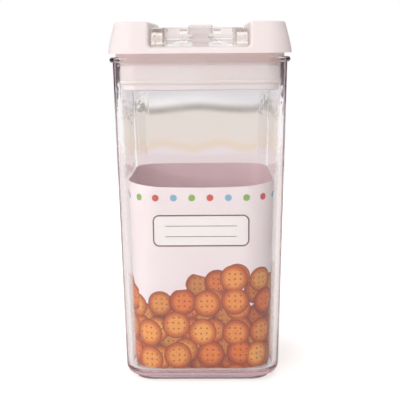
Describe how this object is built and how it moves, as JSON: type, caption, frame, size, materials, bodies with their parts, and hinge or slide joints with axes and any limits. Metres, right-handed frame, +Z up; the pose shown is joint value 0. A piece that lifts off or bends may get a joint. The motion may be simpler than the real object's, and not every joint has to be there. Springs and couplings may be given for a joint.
{
  "type": "storage container",
  "caption": "Tall square clear kitchen canister with a pale pink flip-handle lid; lifting the handle lowers a plate that releases the seal, and the lid lifts off.",
  "frame": {"origin": "middle of the foot, on the surface that the container stands on", "axes": "+Z up; -Y is the front, where the free end of the handle lies; +X to the right seen from the front"},
  "size_m": [0.0754, 0.0754, 0.1525],
  "materials": {
    "clear_plastic": "clear moulded plastic with a very faint rose tint",
    "clear_handle": "clear moulded plastic, polished",
    "label_card": "smooth printed card",
    "pink_plastic": "pale pink satin moulded plastic",
    "pink_silicone": "soft pale pink silicone"
  },
  "bodies": {
    "jar": {"jar": "clear_plastic", "label_sleeve": "label_card"},
    "lid": {"lid_cover": "pink_plastic", "lid_base": "pink_plastic", "seal_ring": "pink_silicone", "hinge_pin_left": "pink_plastic", "hinge_pin_right": "pink_plastic"},
    "plunger": {"pressure_plate": "pink_plastic", "draw_yoke": "pink_plastic"},
    "handle": {"handle": "clear_handle", "drive_pin": "pink_plastic"}
  },
  "joints": [
    {"name": "lid_lift", "type": "slide", "parent": "jar", "child": "lid", "axis": [0, 0, 1], "range_m": [0, 0.06]},
    {"name": "handle_flip", "type": "hinge", "parent": "lid", "child": "handle", "pos_m": [0, 0, 0.14702], "axis": [-1, 0, 0], "range_deg": [0, 90]},
    {"name": "plate_drop", "type": "slide", "parent": "lid", "child": "plunger", "axis": [0, 0, -1], "range_m": [0, 0.0016], "deforming": ["seal_ring"]}
  ],
  "couplings": [
    {"joint": "plate_drop", "follows": "handle_flip", "m_per_rad": 0.0010185}
  ]
}
